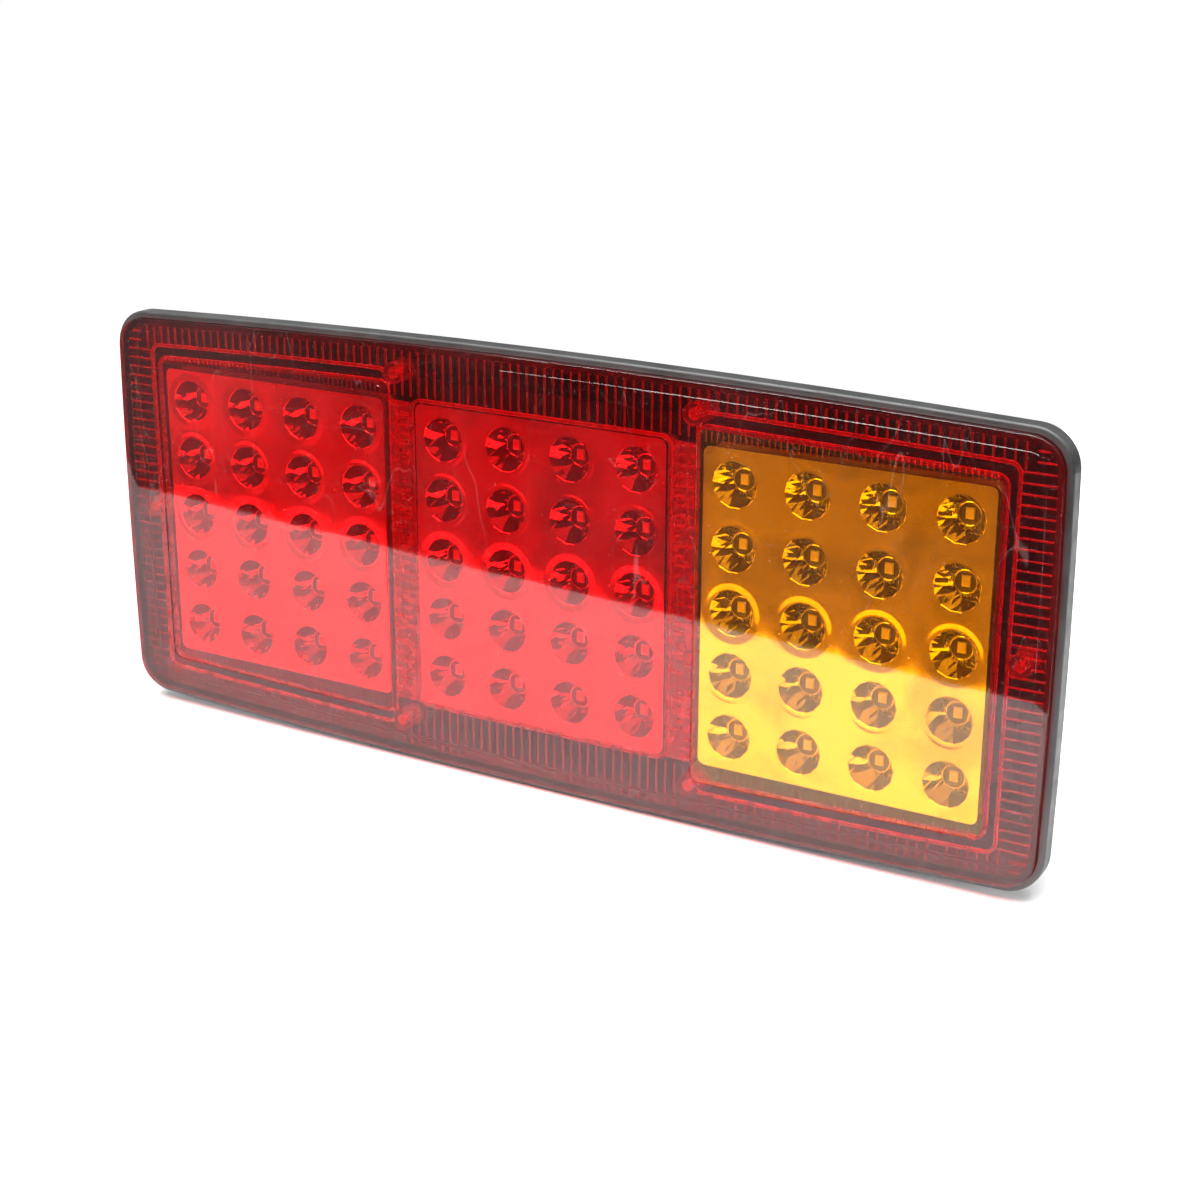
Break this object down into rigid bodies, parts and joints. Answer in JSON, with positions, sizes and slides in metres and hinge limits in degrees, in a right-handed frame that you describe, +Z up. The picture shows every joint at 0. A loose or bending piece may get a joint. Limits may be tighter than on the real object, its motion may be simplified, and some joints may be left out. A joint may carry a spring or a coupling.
{
  "type": "trailer tail light",
  "caption": "Rectangular three-chamber LED tail light for a trailer or truck: red stop and tail lamps and an amber turn lamp behind one lens, on two rear studs.",
  "frame": {"origin": "middle of the stud pattern, on the flat back face that meets the vehicle", "axes": "+X to the right of someone facing the lit lens, +Z up, the lens faces -Y and the studs point along +Y"},
  "size_m": [0.3548, 0.06, 0.1504],
  "materials": {
    "housing_plastic": "moulded black ABS with a fine satin texture",
    "lens_red": "clear red acrylic, polished",
    "lens_amber": "clear amber acrylic, polished",
    "chrome_plating": "vacuum-metallised plastic, mirror bright",
    "board": "white solder mask on glass-epoxy",
    "led_package": "white package with a pale yellow well",
    "component_black": "moulded component body",
    "connector_white": "natural nylon",
    "terminal_green": "green nylon",
    "lead_red": "PVC insulation",
    "zinc_steel": "bright zinc plate",
    "brass": "nickel-free brass",
    "rubber": "soft black EPDM",
    "vent_plastic": "moulded black cap"
  },
  "bodies": {
    "root": {"board_screws": "zinc_steel", "breather_vent": "vent_plastic", "cable_grommet": "rubber", "circuit_board_left": "board", "circuit_board_middle": "board", "circuit_board_right": "board", "jumper_lead_left": "lead_red", "jumper_lead_right": "lead_red", "leds_left": "led_package", "leds_middle": "led_package", "leds_right": "led_package", "lens_red": "lens_red", "lens_screws": "zinc_steel", "lens_seal": "rubber", "lens_window_amber": "lens_amber", "lens_window_red": "lens_red", "mounting_stud_left": "zinc_steel", "mounting_stud_right": "zinc_steel", "protection_diodes": "component_black", "push_nuts": "zinc_steel", "rear_housing": "housing_plastic", "reflector_left": "chrome_plating", "reflector_middle": "chrome_plating", "reflector_right": "chrome_plating", "resistors_left": "component_black", "resistors_middle": "component_black", "resistors_right": "component_black", "screw_seals": "rubber", "stud_seals": "rubber", "stud_washers": "zinc_steel", "terminal_block": "terminal_green", "terminal_screws": "brass", "wire_connectors": "connector_white"}
  },
  "joints": []
}
